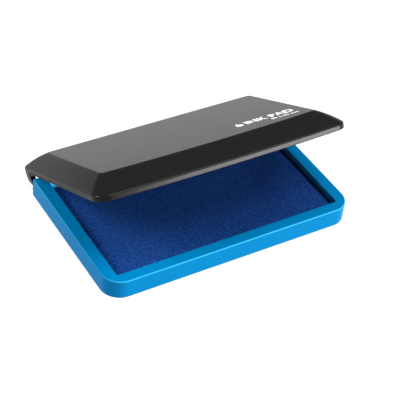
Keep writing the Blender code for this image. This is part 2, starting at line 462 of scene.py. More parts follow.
@dataclass(frozen=True)
class PadPrint:
    """A thin film of printing ink, slightly uneven where the plastic's grain shows through."""

    name: str
    colour: str
    thin: str
    patch: float = 0.8
    depth: float = 0.01

    def build(self) -> bpy.types.Material:
        """Colour that thins in small patches.

        Returns:
            The material.
        """
        canvas = Canvas.start(self.name)
        patch = canvas.grain(self.patch, 3.0)
        canvas.set(
            Base_Color=canvas.mix(
                canvas.remap(patch, 0.0, 1.0, 0.5, 0.8), hex_to_linear(self.colour), hex_to_linear(self.thin)
            ),
            Roughness=0.5,
            Normal=canvas.bump(patch, self.depth),
        )
        return canvas.material


# Polystyrene in a saturated blue, satin and almost without a mirror image.  Its outer top edge
# shows a painted highlight as a pale line, the well's walls are painted lighter, and the foot of
# the well is darkened by ink stain and painted shade.
TRAY_PLASTIC = MouldedPlastic(
    "moulded_polystyrene_blue", "#00689A", "#006596", roughness=0.30, grain=0.5, depth=0.006, gleam=0.02,
    pale="#2F96C0", ink="#08306E",
)
# Black polystyrene from a lightly sparked tool: near-black face on, and a satin grey where the eye
# grazes it and it mirrors the pale room.
LID_PLASTIC = MouldedPlastic(
    "moulded_polystyrene_black", "#161716", "#181918", roughness=0.22, grain=0.35, depth=0.003, gleam=0.08
)
# Softer polypropylene of the liner: black, flatter and duller than the lid.
LINER_PLASTIC = MouldedPlastic(
    "moulded_polypropylene_black", "#1B1C1C", "#202121", roughness=0.48, grain=0.4, depth=0.010, ior=1.49
)
# Inked cotton: deep ink blue, with specks of lighter thread and a faint blue bloom.
PAD_CLOTH = InkedCloth("woven_cotton_inked", "#04275F", "#1C4C96", "#3C78C8", thread=0.5, roughness=0.85)
# Wool felt full of ink, under the cloth: blue-black and dull.
INK_FELT = PressedFibre("wool_felt_inked", "#060E2C", "#0C1C48", fibre=0.3)
# Grey board that stiffens the pad: flecked and dull.
BACKING_BOARD = PressedFibre("pressed_grey_board", "#8C8880", "#A8A49B", fibre=0.4)
# Short wire pins of the hinge: bright, with a soft streak along them.
PIN_STEEL = DrawnSteel("drawn_steel_wire", "#B4B4B2", roughness=0.25)
# White printing ink on the lid: flat white, a little grey where it is thin.
WHITE_PRINT = PadPrint("pad_printed_white", "#F4F4F2", "#D2D3D2")


# ---------------------------------------------------------------- outlines and meshes


@dataclass(frozen=True)
class Plan:
    """Plan outline of a rounded rectangle, whose front edge may be bowed forwards."""

    half_width: float
    front: float
    rear: float
    front_radius: float
    rear_radius: float
    bow: float = 0.0
    arc_steps: int = 14
    edge_steps: int = 1
    least_radius: float = 0.15

    def toward(self, other: "Plan", share: float) -> "Plan":
        """The plan part of the way to another one.

        Args:
            other: Plan at a share of 1.
            share: How far to go; it may pass 1.

        Returns:
            The plan between them.
        """
        def between(first: float, second: float) -> float:
            """A size part of the way."""
            return first + (second - first) * share

        return Plan(
            between(self.half_width, other.half_width),
            between(self.front, other.front),
            between(self.rear, other.rear),
            between(self.front_radius, other.front_radius),
            between(self.rear_radius, other.rear_radius),
            between(self.bow, other.bow),
            self.arc_steps,
            self.edge_steps,
        )

    def points(self, inset: float = 0.0, swell: float = 0.0) -> np.ndarray:
        """The outline's points, anticlockwise from above.

        Args:
            inset: How far inside the plan the outline runs; negative is outside.
            swell: How far the rear edge stands out.

        Returns:
            Points as rows of x and y.
        """
        half, front = self.half_width - inset, self.front + inset
        rear = self.rear - inset + swell
        front_radius = max(self.front_radius - inset, self.least_radius)
        rear_radius = max(self.rear_radius - inset, self.least_radius)
        corners = (
            (half, rear, rear_radius, 0.0),
            (-half, rear, rear_radius, 90.0),
            (-half, front, front_radius, 180.0),
            (half, front, front_radius, 270.0),
        )
        rows: list[tuple[float, float]] = []
        for x, y, radius, start in corners:
            middle_x, middle_y = x - math.copysign(radius, x), y - math.copysign(radius, y)
            for step in range(self.arc_steps + 1):
                angle = math.radians(start + 90.0 * step / self.arc_steps)
                rows.append((middle_x + radius * math.cos(angle), middle_y + radius * math.sin(angle)))
            if start == 180.0:
                reach = half - front_radius
                rows.extend(
                    (-reach + 2.0 * reach * step / self.edge_steps, front)
                    for step in range(1, self.edge_steps)
                )
        outline = np.array(rows)
        forward = outline[:, 1] < 0.0
        outline[forward, 1] -= self.bow * (1.0 - (outline[forward, 0] / half) ** 2)
        return outline


def rounded_path(corners: list[tuple[float, float, float]], steps: int = 5) -> list[tuple[float, float]]:
    """Round the corners of a path, with a support point beside each rounding.

    Args:
        corners: Rows of (across, up, radius); the radius of the first and last is not used.
        steps: Facets in a rounding.

    Returns:
        Points of the rounded path.
    """
    path = [Vector(corners[0][:2])]
    for before, corner, after in zip(corners, corners[1:], corners[2:]):
        here = Vector(corner[:2])
        back = (Vector(before[:2]) - here).normalized()
        ahead = (Vector(after[:2]) - here).normalized()
        half = back.angle(ahead) / 2.0
        reach = corner[2] / math.tan(half)
        middle = here + (back + ahead).normalized() * (corner[2] / math.sin(half))
        first, last = here + back * reach - middle, here + ahead * reach - middle
        sweep = first.angle_signed(last)
        path.append(here + back * (reach + SUPPORT))
        for step in range(steps + 1):
            path.append(middle + Matrix.Rotation(-sweep * step / steps, 2) @ first)
        path.append(here + ahead * (reach + SUPPORT))
    path.append(Vector(corners[-1][:2]))
    return [(point.x, point.y) for point in path]


def solid(name: str, built: bmesh.types.BMesh, sharp: float = SHARP_ANGLE) -> bpy.types.Object:
    """Make an object in metres from a mesh built in millimetres.

    Args:
        name: Name of the object.
        built: The mesh, which is freed.
        sharp: Edges bent by more degrees than this stay sharp.

    Returns:
        The object, at the origin.
    """
    bmesh.ops.recalc_face_normals(built, faces=built.faces)
    bmesh.ops.transform(built, matrix=Matrix.Scale(MM, 4), verts=built.verts)
    mesh = bpy.data.meshes.new(name)
    built.to_mesh(mesh)
    built.free()
    mesh.shade_smooth()
    mesh.set_sharp_from_angle(angle=math.radians(sharp))
    made = bpy.data.objects.new(name, mesh)
    bpy.context.scene.collection.objects.link(made)
    return made


def loft(name: str, rings: list[np.ndarray], sharp: float = SHARP_ANGLE) -> bpy.types.Object:
    """Closed solid through rings that all have the same number of points, capped at both ends.

    Args:
        name: Name of the object.
        rings: Rows of x, y and z for each ring.
        sharp: Edges bent by more degrees than this stay sharp.

    Returns:
        The object.
    """
    built = bmesh.new()
    loops = [[built.verts.new(row) for row in ring] for ring in rings]
    for low, high in zip(loops, loops[1:]):
        for i in range(len(low)):
            j = (i + 1) % len(low)
            built.faces.new((low[i], low[j], high[j], high[i]))
    built.faces.new(loops[0])
    built.faces.new(loops[-1])
    return solid(name, built, sharp)


def bend(first: float, corner: float, last: float, share: float) -> float:
    """Value part of the way along a bend that heads for its corner from both ends."""
    return (1 - share) ** 2 * first + 2 * share * (1 - share) * corner + share * share * last


def level(outline: np.ndarray, height: float) -> np.ndarray:
    """A ring at one height from an outline of x and y."""
    return np.column_stack([outline, np.full(len(outline), height)])


def side_slices(profiles: list[tuple[float, np.ndarray]]) -> list[np.ndarray]:
    """Rings across X from profiles of y and z."""
    return [np.column_stack([np.full(len(rows), x), rows]) for x, rows in profiles]


def resample(points: list[Vector], count: int) -> np.ndarray:
    """Spread points evenly along a closed outline.

    Args:
        points: Corners of the outline.
        count: Number of points wanted.

    Returns:
        The new points, starting at the first corner.
    """
    corners = np.array([tuple(p) for p in points] + [tuple(points[0])])
    steps = np.hypot(*np.diff(corners, axis=0).T)
    along = np.concatenate([[0.0], np.cumsum(steps)])
    wanted = np.linspace(0.0, along[-1], count, endpoint=False)
    return np.column_stack([np.interp(wanted, along, corners[:, i]) for i in (0, 1)])


def baked(made: bpy.types.Object) -> bpy.types.Object:
    """Turn an object's modifiers into plain mesh.

    Args:
        made: The object, which keeps its name.

    Returns:
        The same object, with no modifiers.
    """
    bpy.context.view_layer.update()
    graph = bpy.context.evaluated_depsgraph_get()
    mesh = bpy.data.meshes.new_from_object(made.evaluated_get(graph))
    made.modifiers.clear()
    mesh.name = made.name
    made.data = mesh
    return made


def carve(made: bpy.types.Object, operation: str, *tools: bpy.types.Object) -> bpy.types.Object:
    """Join or cut an object with tools, which are then removed.

    Args:
        made: Object to change.
        operation: UNION or DIFFERENCE.
        *tools: Closed solids.

    Returns:
        The changed object, smooth again except at its sharp edges.
    """
    for tool in tools:
        modifier = made.modifiers.new(tool.name, "BOOLEAN")
        modifier.operation, modifier.solver, modifier.object = operation, "EXACT", tool
    baked(made)
    for tool in tools:
        bpy.data.objects.remove(tool, do_unlink=True)
    made.data.shade_smooth()
    made.data.set_sharp_from_angle(angle=math.radians(SHARP_ANGLE))
    return made


def cylinder_x(name: str, centre: Vector, radius: float, left: float, right: float) -> bpy.types.Object:
    """A round bar along X.

    Args:
        name: Name of the object.
        centre: A point on its axis.
        radius: Its radius.
        left: Lowest x.
        right: Highest x.

    Returns:
        The object.
    """
    turns = np.linspace(0.0, 2.0 * math.pi, ROUND_STEPS, endpoint=False)
    circle = np.column_stack([centre.y + radius * np.cos(turns), centre.z + radius * np.sin(turns)])
    return loft(name, side_slices([(left, circle), (right, circle)]))


def open_tree(name: str, inputs: dict[str, str]) -> tuple[bpy.types.NodeTree, object]:
    """Begin geometry nodes that stand a part in several places.

    Args:
        name: Name of the tree.
        inputs: Kind of value of each named input; one for the finish is added.

    Returns:
        The tree and the outputs of its input node.
    """
    tree = bpy.data.node_groups.new(name, "GeometryNodeTree")
    for label, kind in {**inputs, "Finish": "Material"}.items():
        tree.interface.new_socket(label, in_out="INPUT", socket_type=f"NodeSocket{kind}")
    tree.interface.new_socket("Geometry", in_out="OUTPUT", socket_type="NodeSocketGeometry")
    return tree, add_node(tree, "NodeGroupInput").outputs


def close_tree(
    tree: bpy.types.NodeTree,
    points: bpy.types.NodeSocket,
    part: bpy.types.NodeSocket,
    finish: bpy.types.NodeSocket,
) -> None:
    """Stand a part on every point, turn the copies to real mesh, and give them their finish.

    Args:
        tree: Tree to end.
        points: Output with the places.
        part: Output with the part.
        finish: Output with its material.
    """
    stood = add_node(tree, "GeometryNodeInstanceOnPoints", inputs={"Points": points, "Instance": part})
    real = add_node(tree, "GeometryNodeRealizeInstances", inputs={0: stood.outputs[0]})
    dressed = add_node(
        tree, "GeometryNodeSetMaterial", inputs={"Geometry": real.outputs[0], "Material": finish}
    )
    add_node(tree, "NodeGroupOutput", inputs={"Geometry": dressed.outputs[0]})


def grown(name: str, tree: bpy.types.NodeTree, values: dict[str, object]) -> bpy.types.Object:
    """Grow a mesh from a node tree.

    Args:
        name: Name of the object.
        tree: Geometry nodes.
        values: The tree's inputs by name.

    Returns:
        The object as plain mesh.
    """
    made = bpy.data.objects.new(name, bpy.data.meshes.new(name))
    bpy.context.scene.collection.objects.link(made)
    modifier = made.modifiers.new("grow", "NODES")
    modifier.node_group = tree
    for item in tree.interface.items_tree:
        if item.in_out == "INPUT" and item.name in values:
            modifier[item.identifier] = values[item.name]
    return baked(made)


def joined(name: str, pieces: list[bpy.types.Object], bevel: float = 0.0) -> bpy.types.Object:
    """Join meshes to one piece.

    Args:
        name: Name of the piece.
        pieces: Objects at the origin, which are removed.
        bevel: Width of a bevel on every sharp edge, in millimetres.

    Returns:
        The piece.
    """
    built = bmesh.new()
    for piece in pieces:
        built.from_mesh(piece.data)
        bpy.data.objects.remove(piece, do_unlink=True)
    if bevel:
        bmesh.ops.bevel(
            built, geom=built.edges[:], offset=bevel * MM, segments=2, profile=0.5, affect="EDGES"
        )
    bmesh.ops.transform(built, matrix=Matrix.Scale(1.0 / MM, 4), verts=built.verts)
    return solid(name, built)


def place_piece(
    made: bpy.types.Object,
    body: Body,
    finish: bpy.types.Material,
    slot: str,
    *nodes: str,
) -> None:
    """Dress a piece, hang it on its body, and hide the nodes that it replaces.

    Args:
        made: The piece.
        body: Body that it moves with.
        finish: Its material.
        slot: The record's material slot; not used.
        *nodes: Nodes of the frame that it replaces.
    """
    made.data.materials.clear()
    made.data.materials.append(finish)
    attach(made, body.value)
    if nodes:
        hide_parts(*nodes)
    log.info("%s: %d faces on %s", made.name, len(made.data.polygons), body.value)


def dress_node(node: str, finish: bpy.types.Material) -> None:
    """Give a node of the frame a better material.

    Args:
        node: Name of the node.
        finish: Its material.
    """
    for place in frame["nodes"][node].material_slots:
        place.material = finish
    log.info("%s: frame node dressed", node)


# ---------------------------------------------------------------- hinge


@dataclass(frozen=True)
class Hinge:
    """The hinge's axis and opening, read from the frame's joint."""

    centre: Vector
    axis: Vector
    opening: float
    pin_hole: float = 0.65
    round_steps: int = 48

    @classmethod
    def from_frame(cls) -> "Hinge":
        """Read the joint.

        Returns:
            The hinge, in millimetres.
        """
        joint = frame["joints"][0]
        return cls(
            Vector(joint["pos_m"]) / MM, Vector(joint["axis"]), -math.radians(joint["range_deg"][0])
        )

    def swing_open(self, made: bpy.types.Object) -> bpy.types.Object:
        """Turn a part shaped in its closed place to where the frame has it.

        Args:
            made: The part, at the origin.

        Returns:
            The part.
        """
        centre = Matrix.Translation(self.centre * MM)
        made.data.transform(centre @ Matrix.Rotation(self.opening, 4, self.axis) @ centre.inverted())
        return made

    def teardrop(self, radius: float, base: list[tuple[float, float]]) -> list[Vector]:
        """Outline in y and z round the axis, drawn out to the points of a base.

        Args:
            radius: Radius round the axis.
            base: Points that the outline reaches.

        Returns:
            The outline's corners, from the first point of the base.
        """
        turns = [2.0 * math.pi * i / self.round_steps for i in range(self.round_steps)]
        points = [
            Vector((self.centre.y + radius * math.cos(t), self.centre.z + radius * math.sin(t)))
            for t in turns
        ] + [Vector(corner) for corner in base]
        hull = [points[i] for i in convex_hull_2d(points)]
        start = min(range(len(hull)), key=lambda i: (hull[i] - Vector(base[0])).length)
        return hull[start:] + hull[:start]

    def dress(self, finish: bpy.types.Material) -> None:
        """Give the two pins their steel."""
        for node in ("hinge_pin_left", "hinge_pin_right"):
            dress_node(node, finish)


# ---------------------------------------------------------------- tray


@dataclass
class Tray:
    """Moulded tray: a well for the pad inside a rim that is hollow and ribbed below."""

    hinge: Hinge
    depth: float = 60.6
    front_radius: float = 7.3
    rear_radius: float = 0.6
    nose: float = 0.6               # how far the rear wall swells out
    nose_steps: int = 16
    edge: float = 0.5               # rounding of the rim's outer edge
    mouth_round: float = 0.18       # of the well's mouth, of its floor, and of the hollow's roof
    floor_round: float = 0.35
    roof_round: float = 0.3
    foot_rounds: tuple[float, float, float] = (0.15, 0.12, 0.22)    # well wall; outer wall in and out
    rim_run: float = 1.2            # how far in the last ring lies on the rim, floor, roof and foot
    floor_run: float = 1.5
    roof_run: float = 0.9
    foot_run: float = 1.0
    well_width: float = 90.6
    well_depth: float = 52.2
    well_radius: float = 1.0
    dark_height: float = 5.0         # height to which the well's wall is fully darkened, by ink stain and painted shade
    dark_rise: float = 0.8           # height over which the darkening fades out
    dark_steps: int = 4
    darkening: float = 0.7              # strength of the darkening
    side_highlight: float = 0.3          # strength of the painted highlight at the sides, against the front
    margin: float = 0.9             # the outside is at least this far from the well
    slack: float = 0.1
    floor: float = 1.2
    wall: float = 1.3
    rib: float = 1.0
    rib_foot: float = 0.15
    rib_bevel: float = 0.12
    long_pitch: float = 18.0
    short_pitch: float = 16.0
    lug_radius: float = 1.4
    lug_reach: tuple[float, float] = (41.5, 45.5)
    lug_root: tuple[float, float] = (1.2, 1.5)      # reach on the wall above and below, in radii
    lug_round: float = 0.2          # rounding of the lug's two ends, and its first step
    lug_break: float = 0.06
    lug_points: int = 64
    bore_overrun: float = 1.0
    low: Vector = field(init=False)
    high: Vector = field(init=False)

    def __post_init__(self) -> None:
        """Read the tray's box."""
        low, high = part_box("base_tray")
        self.low, self.high = low / MM, high / MM

    @property
    def height(self) -> float:
        """Height of the rim."""
        return self.high.z

    @property
    def outer(self) -> Plan:
        """Outline of the tray."""
        return Plan(self.high.x, self.low.y, self.low.y + self.depth, self.front_radius, self.rear_radius)

    @property
    def well(self) -> Plan:
        """Outline of the well."""
        half = self.well_depth / 2.0
        return Plan(self.well_width / 2.0, -half, half, self.well_radius, self.well_radius)

    def swell(self, height: float) -> float:
        """How far the rounded rear wall stands out at a height."""
        share = min(max(2.0 * height / self.height - 1.0, -1.0), 1.0)
        return self.nose * math.sqrt(1.0 - share * share)

    def rings(self) -> list[np.ndarray]:
        """Rings from the underside of the well, round the rim, to the floor of the well.

        Returns:
            The rings of a closed loft.
        """
        roof, top, wall = self.height - self.wall, self.height, self.wall
        lap, half, zone = wall + self.roof_run, wall / 2, self.foot_run
        well_foot, inner_foot, outer_foot = self.foot_rounds
        under = rounded_path(
            [(wall - zone, 0.0, 0), (wall, 0.0, well_foot), (wall, roof, self.roof_round), (lap, roof, 0)], 3
        )
        inside = rounded_path(
            [(lap, roof, 0), (wall, roof, self.roof_round), (wall, 0.0, inner_foot), (half, 0.0, 0)], 3
        )
        side = rounded_path(
            [(half, 0.0, 0), (0.0, 0.0, outer_foot), (0.0, top, self.edge), (self.rim_run, top, 0)], 6
        )
        down = rounded_path(
            [(-self.rim_run, top, 0), (0.0, top, self.mouth_round), (0.0, self.floor, self.floor_round),
             (self.floor_run, self.floor, 0)], 4,
        )
        foot = [p for p in side if p[1] < zone]
        crown = [p for p in side if p[1] > top - zone]
        turns = [math.pi * i / self.nose_steps for i in range(1, self.nose_steps)]
        bulge = [(0.0, top / 2 * (1.0 - math.cos(turn))) for turn in turns]
        bulge = [p for p in bulge if foot[-1][1] + 2.0 * SUPPORT < p[1] < crown[0][1] - 2.0 * SUPPORT]
        mouth = sum(point[1] > top - zone for point in down)
        # rings on the well's wall where the ink stain and painted shade fade out
        steps = range(self.dark_steps + 1)
        down[mouth:mouth] = [
            (0.0, self.dark_height + self.dark_rise * (1.0 - step / self.dark_steps)) for step in steps
        ]
        return (
            [level(self.well.points(-across), up) for across, up in under]
            + [level(self.outer.points(across), up) for across, up in inside]
            + [level(self.outer.points(across, self.swell(up)), up) for across, up in foot + bulge + crown]
            + [level(self.well.points(across), up) for across, up in down]
        )

    def lug(self, side: Side) -> bpy.types.Object:
        """One rounded lug behind the tray, for a hinge pin.

        Args:
            side: Left or right.

        Returns:
            The lug.
        """
        centre, radius = self.hinge.centre, self.lug_radius
        root = self.low.y + self.depth - self.wall / 2.0
        above, below = (share * radius for share in self.lug_root)
        near, far = self.lug_reach
        ends = ((0.0, self.lug_round), (self.lug_break, self.lug_break), (self.lug_round, 0.0))
        stations = [(near + run, inset) for run, inset in ends]
        stations += [(far - run, inset) for run, inset in reversed(ends)]
        profiles = []
        for x, inset in stations:
            base = [(root, centre.z + above - inset), (root, centre.z - below + inset)]
            outline = resample(self.hinge.teardrop(radius - inset, base), self.lug_points)
            profiles.append((side.value * x, outline))
        return loft(f"lug_{side.name.lower()}", side_slices(profiles))

    def build(self) -> bpy.types.Object:
        """The tray with its two bored lugs.

        Returns:
            The tray.
        """
        tray = loft("tray_shell", self.rings())
        carve(tray, "UNION", *(self.lug(side) for side in Side))
        near, far = self.lug_reach[0] - self.bore_overrun, self.lug_reach[1] + self.bore_overrun
        bores = [
            cylinder_x(f"bore_{side.name.lower()}", self.hinge.centre, self.hinge.pin_hole,
                       *sorted((side.value * near, side.value * far)))
            for side in Side
        ]
        return carve(tray, "DIFFERENCE", *bores)

    def rib_tree(self) -> bpy.types.NodeTree:
        """Nodes that set a row of thin upright ribs.

        Returns:
            The tree, with its sizes as named inputs.
        """
        tree, given = open_tree(
            "rim_rib_row", {"Count": "Int", "Start": "Vector", "Step": "Vector", "Rib Size": "Vector"}
        )
        row = add_node(
            tree,
            "GeometryNodeMeshLine",
            {"mode": "OFFSET"},
            {"Count": given["Count"], "Start Location": given["Start"], "Offset": given["Step"]},
        )
        rib = add_node(tree, "GeometryNodeMeshCube", inputs={"Size": given["Rib Size"]})
        close_tree(tree, row.outputs["Mesh"], rib.outputs["Mesh"], given["Finish"])
        return tree

    def ribs(self, finish: bpy.types.Material) -> bpy.types.Object:
        """Stiffening ribs across the hollow under the rim.

        Args:
            finish: The tray's material.

        Returns:
            All the ribs as one piece.
        """
        tree = self.rib_tree()
        foot, roof = self.rib_foot, self.height - self.wall / 2.0
        middle, tall = (foot + roof) / 2.0, roof - foot
        long_span = (self.depth - self.well_depth) / 2.0 - self.wall
        short_span = self.high.x - self.well_width / 2.0 - self.wall
        front_y = (self.well_depth + self.depth) / 4.0
        end_x = (self.high.x + self.well_width / 2.0) / 2.0
        rows = []
        for sign in (-1, 1):
            rows.append((5, (-2 * self.long_pitch, sign * front_y, middle), (self.long_pitch, 0, 0),
                         (self.rib, long_span, tall)))
            rows.append((3, (sign * end_x, -self.short_pitch, middle), (0, self.short_pitch, 0),
                         (short_span, self.rib, tall)))
        pieces = []
        for number, (count, start, step, size) in enumerate(rows):
            values = {
                "Count": count,
                "Start": Vector(start) * MM,
                "Step": Vector(step) * MM,
                "Rib Size": Vector(size) * MM,
                "Finish": finish,
            }
            pieces.append(grown(f"rib_row_{number}", tree, values))
        return joined("rim_ribs", pieces, self.rib_bevel)

    def mark_light_and_shade(self, tray: bpy.types.Object) -> None:
        """Mark the painted highlight on the rim's outer rounding, painted light on the walls of the well, and
        the ink stain with painted shade at their foot.

        Args:
            tray: The tray, which gets the two attributes.
        """
        mesh = tray.data
        rows = np.abs(np.array([v.co for v in mesh.vertices])) / MM
        across, along, up = rows.T
        half_width, half_depth = self.well_width / 2.0, self.well_depth / 2.0
        outside = (across > half_width + self.margin) | (along > half_depth + self.margin)
        inside = (across < half_width + self.slack) & (along < half_depth + self.slack)
        inside &= up > self.floor - self.slack
        # painted highlight along the rim's outer rounding: full at the front, where the front light falls,
        # and weaker at the sides
        climb = np.clip((up - self.height) / self.edge + 1.0, 0.0, 1.0)
        frontal = np.clip((along - self.depth / 2.0) / self.front_radius + 1.0, 0.0, 1.0)
        pale = (self.side_highlight + (1.0 - self.side_highlight) * frontal) * np.sin(math.pi * climb**2)
        # darker foot of the well's walls: ink stain and painted shade
        darkened = self.darkening * np.clip(1.0 - (up - self.dark_height) / self.dark_rise, 0.0, 1.0)
        for name, values in (
            # the well's walls and floor are painted lighter throughout: painted light
            (PAINTED_LIGHT, outside * pale + inside * (up < self.height - SUPPORT)),
            (INK_AND_SHADE, inside * darkened),
        ):
            mesh.attributes.new(name, "FLOAT", "POINT").data.foreach_set("value", values.astype(np.float32))

    def make(self, finish: bpy.types.Material) -> None:
        """Build, dress and place the tray and its ribs."""
        tray = self.build()
        self.mark_light_and_shade(tray)
        place_piece(tray, Body.BASE, finish, "tray_plastic", "base_tray")
        place_piece(self.ribs(finish), Body.BASE, finish, "tray_plastic")


# ---------------------------------------------------------------- inked pad


@dataclass
class InkPad:
    """Cloth drawn over felt and board, and held only round its lower edge."""

    spacing: float = 1.9            # distance between the cloth's grid lines
    edge: float = 0.75              # rounding of the upper edge
    edge_steps: int = 3
    cloth: float = 0.35             # thickness
    hem: float = 1.1                # height of the straight part that is held
    hold: float = 0.1               # height above the hem up to which it is held
    slack: float = 0.02
    corner_pull: float = 0.28       # how far corners draw in, as a share of the rounding
    pressure: float = 4.0
    stretch: float = 40.0           # stiffness against stretching, and against bending
    bending: float = 2.0
    quality: int = 6
    frames: int = 20
    rise: float = 0.16              # most that the cloth may move
    sideways: float = 0.3           # share of a sideways move that is kept
    ripples: tuple[tuple[float, float, float], ...] = ((9.0, 0.0, 0.05), (1.3, 4.0, 0.03))
    ripple_depth: float = 0.6       # ripples lie this far down from the top at most
    low: Vector = field(init=False)
    high: Vector = field(init=False)

    def __post_init__(self) -> None:
        """Read the cloth's box."""
        low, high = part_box("pad_cloth")
        self.low, self.high = low / MM, high / MM

    def skirt(self) -> list[tuple[float, float]]:
        """Insets and heights of the rings from the lower edge of the cloth to its flat top."""
        top = self.high.z - self.rise
        rings = [(0.0, self.low.z), (0.0, self.low.z + self.hem), (self.slack, top - self.edge)]
        for step in range(1, self.edge_steps + 1):
            turn = math.radians(90.0 * step / self.edge_steps)
            inset = self.edge * (1.0 - math.cos(turn)) + self.slack
            rings.append((inset, top - self.edge * (1.0 - math.sin(turn))))
        return rings

    def skin(self) -> bpy.types.Object:
        """The cloth as a grid folded down round its edge, open below.

        Returns:
            The flat cloth before it swells.
        """
        rings = self.skirt()
        half_x, half_y = self.high.x, self.high.y
        last, pull = len(rings) - 1, self.corner_pull * self.edge
        across = round(2.0 * half_x / self.spacing) + 2 * last
        along = round(2.0 * half_y / self.spacing) + 2 * last
        built = bmesh.new()
        grid = []
        for i in range(across + 1):
            column = []
            for j in range(along + 1):
                ring = min(i, across - i, j, along - j, last)
                inset, height = rings[ring]
                x = (half_x - inset) * (2.0 * (i - ring) / (across - 2 * ring) - 1.0)
                y = (half_y - inset) * (2.0 * (j - ring) / (along - 2 * ring) - 1.0)
                x = min(max(x, inset - half_x), half_x - inset)
                y = min(max(y, inset - half_y), half_y - inset)
                if ring < last and i in (ring, across - ring) and j in (ring, along - ring):
                    x -= math.copysign(pull, x)
                    y -= math.copysign(pull, y)
                column.append(built.verts.new((x, y, height)))
            grid.append(column)
        for i in range(across):
            for j in range(along):
                built.faces.new((grid[i][j], grid[i + 1][j], grid[i + 1][j + 1], grid[i][j + 1]))
        return solid("inked_pad", built, ALL_SMOOTH)

    def swell(self, made: bpy.types.Object) -> None:
        """Blow the cloth up a little by simulation, held along its lower rings.

        Args:
            made: The cloth, which changes shape.
        """
        scene = bpy.context.scene
        mesh = made.data
        start = np.array([v.co for v in mesh.vertices])
        held = made.vertex_groups.new(name="held")
        fixed = self.low.z + self.hem + self.hold
        for vertex in mesh.vertices:
            if vertex.co.z < fixed * MM:
                held.add([vertex.index], 1.0, "REPLACE")
        modifier = made.modifiers.new("swell", "CLOTH")
        settings = modifier.settings
        settings.vertex_group_mass = held.name
        settings.use_pressure = True
        settings.uniform_pressure_force = self.pressure
        settings.effector_weights.gravity = 0.0
        settings.tension_stiffness = settings.compression_stiffness = self.stretch
        settings.bending_stiffness = self.bending
        settings.quality = self.quality
        modifier.collision_settings.use_collision = False
        modifier.point_cache.frame_start, modifier.point_cache.frame_end = 1, self.frames
        for number in range(1, self.frames + 1):
            scene.frame_set(number)
        graph = bpy.context.evaluated_depsgraph_get()
        swollen = made.evaluated_get(graph).to_mesh()
        moved = np.array([v.co for v in swollen.vertices]) - start
        made.modifiers.clear()
        scene.frame_set(1)
        reach = np.linalg.norm(moved, axis=1, keepdims=True)
        limit = self.rise * MM
        capped = moved * (limit * np.tanh(reach / limit) / np.maximum(reach, 1e-12))
        capped[:, :2] *= self.sideways
        for vertex, point in zip(mesh.vertices, start + capped):
            vertex.co = point
        log.info("cloth swelled %.3f mm at most", float(np.linalg.norm(capped, axis=1).max()) / MM)

    def ripple(self, made: bpy.types.Object) -> None:
        """Give the cloth the faint unevenness of felt below it.

        Args:
            made: The cloth, which changes shape.
        """
        for vertex in made.data.vertices:
            place = vertex.co / MM
            if place.z > self.high.z - self.ripple_depth:
                for size, layer, height in self.ripples:
                    vertex.co.z += height * MM * noise.noise(Vector((place.x, place.y, layer)) / size)

    def make(self, cloth: bpy.types.Material, felt: bpy.types.Material, board: bpy.types.Material) -> None:
        """Build, dress and place the pad.

        Args:
            cloth: Material of the cloth.
            felt: Material of the felt.
            board: Material of the board.
        """
        made = self.skin()
        self.swell(made)
        smooth = made.modifiers.new("smooth", "SUBSURF")
        smooth.levels = smooth.render_levels = 2
        baked(made)
        self.ripple(made)
        thick = made.modifiers.new("thick", "SOLIDIFY")
        thick.thickness, thick.offset = self.cloth * MM, -1.0
        baked(made)
        place_piece(made, Body.BASE, cloth, "inked_cloth", "pad_cloth")
        dress_node("ink_felt", felt)
        dress_node("backing_board", board)


# ---------------------------------------------------------------- lid


